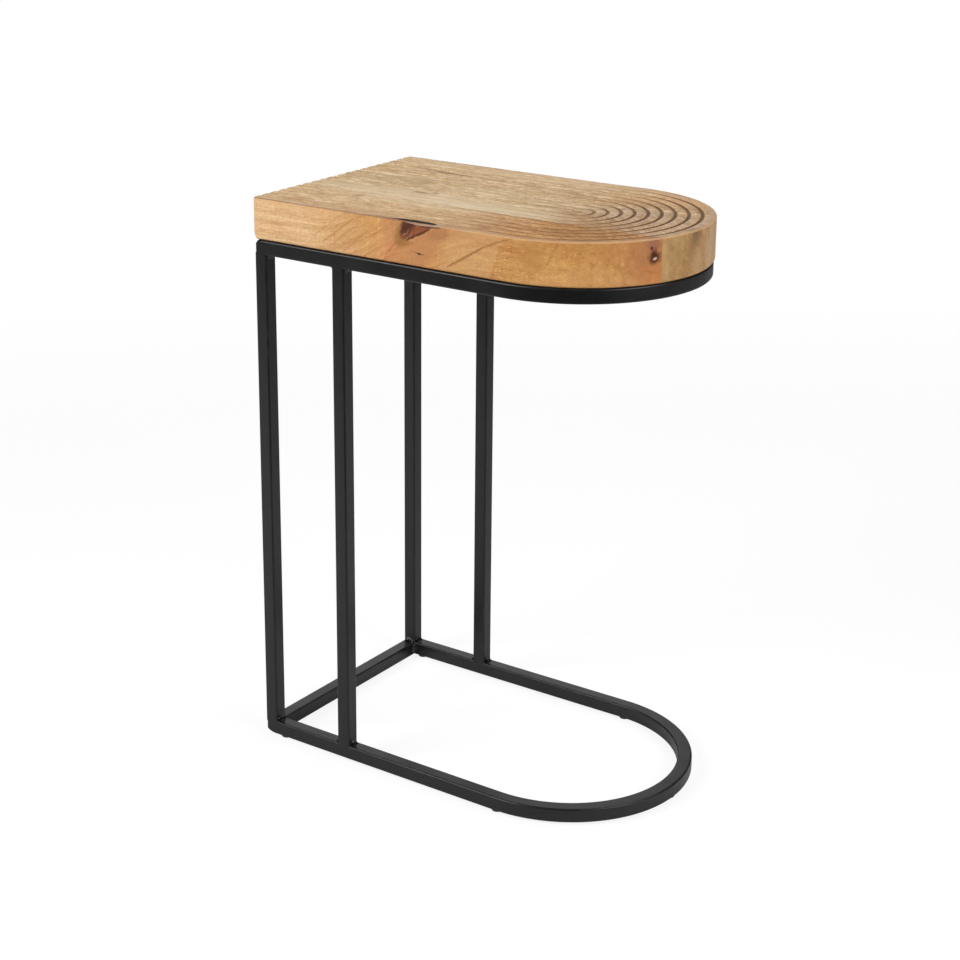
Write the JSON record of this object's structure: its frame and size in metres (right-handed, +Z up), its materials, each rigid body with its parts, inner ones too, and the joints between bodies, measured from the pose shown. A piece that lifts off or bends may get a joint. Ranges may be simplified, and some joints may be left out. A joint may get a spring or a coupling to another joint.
{
  "type": "c shaped side table",
  "caption": "C shaped side table: thick grooved wooden top with one round end, on a welded black square tube frame whose D shaped base ring slides under a seat.",
  "frame": {"origin": "on the floor, under the middle of the table's outline", "axes": "+Z up, +X from the straight end with the uprights towards the free round end, +Y to the back, with the front along -Y"},
  "size_m": [0.465, 0.286, 0.635],
  "materials": {
    "wood": "satin lacquer on a light brown hardwood",
    "black_steel": "satin black powder coat",
    "screw_steel": "zinc plated",
    "glide_plastic": "moulded black plastic"
  },
  "bodies": {
    "root": {"base_cross_bar": "black_steel", "base_rail": "black_steel", "base_weld_beads": "black_steel", "glide_back_bend": "glide_plastic", "glide_back_end": "glide_plastic", "glide_front_bend": "glide_plastic", "glide_front_end": "glide_plastic", "glide_round_end": "glide_plastic", "screw_washers": "screw_steel", "tab_back_bend": "black_steel", "tab_back_end": "black_steel", "tab_front_bend": "black_steel", "tab_front_end": "black_steel", "tab_weld_beads": "black_steel", "top_board_back": "wood", "top_board_front": "wood", "top_board_middle": "wood", "top_cross_bar": "black_steel", "top_rail": "black_steel", "top_screws": "screw_steel", "top_weld_beads": "black_steel", "upright_back_corner": "black_steel", "upright_back_inner": "black_steel", "upright_front_corner": "black_steel", "upright_front_inner": "black_steel"}
  },
  "joints": []
}
